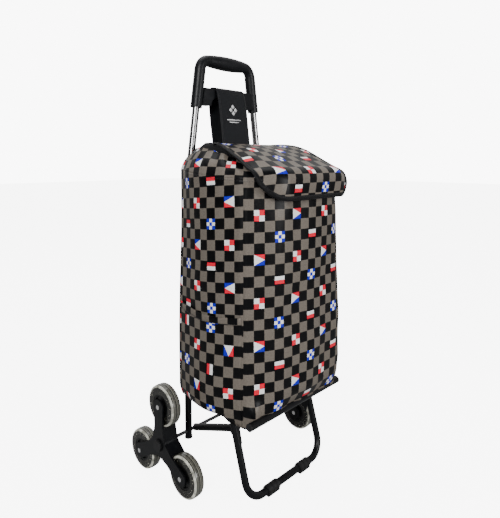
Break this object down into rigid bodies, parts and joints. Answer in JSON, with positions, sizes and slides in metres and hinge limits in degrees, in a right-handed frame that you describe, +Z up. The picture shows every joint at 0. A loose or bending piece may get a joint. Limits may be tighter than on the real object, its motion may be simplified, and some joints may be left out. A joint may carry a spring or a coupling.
{
  "type": "shopping trolley",
  "caption": "Folding stair-climbing shopping trolley: tube frame with D-handle, tri-wheel stars, hinged platform and stand, and a tall checked fabric bag with a flap lid.",
  "frame": {"origin": "on the floor, under the middle of the bounding box", "axes": "+Z up, the bag's front faces -Y, the uprights and handle stand on the +Y side, +X to the right seen from the front"},
  "size_m": [0.428, 0.3764, 0.96],
  "materials": {
    "frame_paint": "satin black powder coat",
    "plug_plastic": "moulded, matt black",
    "chrome_tube": "polished chrome plate",
    "handle_plastic": "moulded, finely textured black",
    "axle_steel": "dull zinc-plated rod",
    "bag_fabric": "coated woven fabric in black and taupe checks with small red, white and blue flag motifs, glossy",
    "lining_fabric": "plain black woven cloth",
    "webbing": "wide black nylon webbing with a pale round emblem",
    "board": "stiff black board",
    "star_plastic": "moulded black, slight sheen",
    "rivet_steel": "bright steel",
    "hub_plastic": "moulded black",
    "tyre_pvc": "translucent smoky vinyl with a clearer tread"
  },
  "bodies": {
    "frame": {"upright_left": "frame_paint", "upright_right": "frame_paint", "upright_plug_left": "plug_plastic", "upright_plug_right": "plug_plastic", "upper_tube_left": "chrome_tube", "upper_tube_right": "chrome_tube", "handle_shell": "handle_plastic", "axle": "axle_steel", "axle_cap_left": "plug_plastic", "axle_cap_right": "plug_plastic", "rear_brace_low": "frame_paint", "rear_brace_high": "frame_paint", "hinge_bracket_left": "frame_paint", "hinge_bracket_right": "frame_paint", "bag_back": "lining_fabric", "bag_front": "bag_fabric", "bag_left": "bag_fabric", "bag_right": "bag_fabric", "bag_collar": "bag_fabric", "side_pocket": "bag_fabric", "hanging_loop": "webbing"},
    "flap": {"flap": "bag_fabric"},
    "platform": {"platform_rail_left": "frame_paint", "platform_rail_right": "frame_paint", "front_bar": "frame_paint", "front_bar_cap_left": "plug_plastic", "front_bar_cap_right": "plug_plastic", "base_board": "board", "bag_base": "lining_fabric"},
    "stand": {"stand_tube": "frame_paint", "foot_left": "plug_plastic", "foot_right": "plug_plastic"},
    "strut_left": {"strut_left": "frame_paint"},
    "strut_right": {"strut_right": "frame_paint"},
    "star_left": {"star_outer_left": "star_plastic", "star_inner_left": "star_plastic", "pin_left_top": "rivet_steel", "pin_left_front": "rivet_steel", "pin_left_rear": "rivet_steel"},
    "star_right": {"star_outer_right": "star_plastic", "star_inner_right": "star_plastic", "pin_right_top": "rivet_steel", "pin_right_front": "rivet_steel", "pin_right_rear": "rivet_steel"},
    "wheel_left_top": {"hub_left_top": "hub_plastic", "tyre_left_top": "tyre_pvc"},
    "wheel_left_front": {"hub_left_front": "hub_plastic", "tyre_left_front": "tyre_pvc"},
    "wheel_left_rear": {"hub_left_rear": "hub_plastic", "tyre_left_rear": "tyre_pvc"},
    "wheel_right_top": {"hub_right_top": "hub_plastic", "tyre_right_top": "tyre_pvc"},
    "wheel_right_front": {"hub_right_front": "hub_plastic", "tyre_right_front": "tyre_pvc"},
    "wheel_right_rear": {"hub_right_rear": "hub_plastic", "tyre_right_rear": "tyre_pvc"}
  },
  "joints": [
    {"name": "flap_hinge", "type": "hinge", "parent": "frame", "child": "flap", "pos_m": [0, 0.02783, 0.7575], "axis": [-1, 0, 0], "range_deg": [0, 95]},
    {"name": "platform_fold", "type": "hinge", "parent": "frame", "child": "platform", "pos_m": [0, 0.04283, 0.193], "axis": [-1, 0, 0], "range_deg": [0, 80], "deforming": ["bag_front", "bag_left", "bag_right", "side_pocket"]},
    {"name": "stand_fold", "type": "hinge", "parent": "platform", "child": "stand", "pos_m": [0, -0.08017, 0.18], "axis": [1, 0, 0], "range_deg": [0, 88]},
    {"name": "strut_left_fold", "type": "hinge", "parent": "stand", "child": "strut_left", "pos_m": [-0.1035, -0.06717, 0.14], "axis": [-1, 0, 0], "range_deg": [0, 84]},
    {"name": "strut_right_fold", "type": "hinge", "parent": "stand", "child": "strut_right", "pos_m": [0.1035, -0.06717, 0.14], "axis": [-1, 0, 0], "range_deg": [0, 84]},
    {"name": "star_left_spin", "type": "hinge", "parent": "frame", "child": "star_left", "pos_m": [-0.1905, 0.06683, 0.0895], "axis": [1, 0, 0], "continuous": true},
    {"name": "wheel_left_top_spin", "type": "hinge", "parent": "star_left", "child": "wheel_left_top", "pos_m": [-0.1905, 0.06683, 0.1765], "axis": [1, 0, 0], "continuous": true},
    {"name": "wheel_left_front_spin", "type": "hinge", "parent": "star_left", "child": "wheel_left_front", "pos_m": [-0.1905, -0.00852, 0.046], "axis": [1, 0, 0], "continuous": true},
    {"name": "wheel_left_rear_spin", "type": "hinge", "parent": "star_left", "child": "wheel_left_rear", "pos_m": [-0.1905, 0.14217, 0.046], "axis": [1, 0, 0], "continuous": true},
    {"name": "star_right_spin", "type": "hinge", "parent": "frame", "child": "star_right", "pos_m": [0.1905, 0.06683, 0.0895], "axis": [1, 0, 0], "continuous": true},
    {"name": "wheel_right_top_spin", "type": "hinge", "parent": "star_right", "child": "wheel_right_top", "pos_m": [0.1905, 0.06683, 0.1765], "axis": [1, 0, 0], "continuous": true},
    {"name": "wheel_right_front_spin", "type": "hinge", "parent": "star_right", "child": "wheel_right_front", "pos_m": [0.1905, -0.00852, 0.046], "axis": [1, 0, 0], "continuous": true},
    {"name": "wheel_right_rear_spin", "type": "hinge", "parent": "star_right", "child": "wheel_right_rear", "pos_m": [0.1905, 0.14217, 0.046], "axis": [1, 0, 0], "continuous": true}
  ],
  "couplings": [
    {"joint": "stand_fold", "follows": "platform_fold", "ratio": 1.1},
    {"joint": "strut_left_fold", "follows": "platform_fold", "ratio": 1.05},
    {"joint": "strut_right_fold", "follows": "platform_fold", "ratio": 1.05}
  ]
}
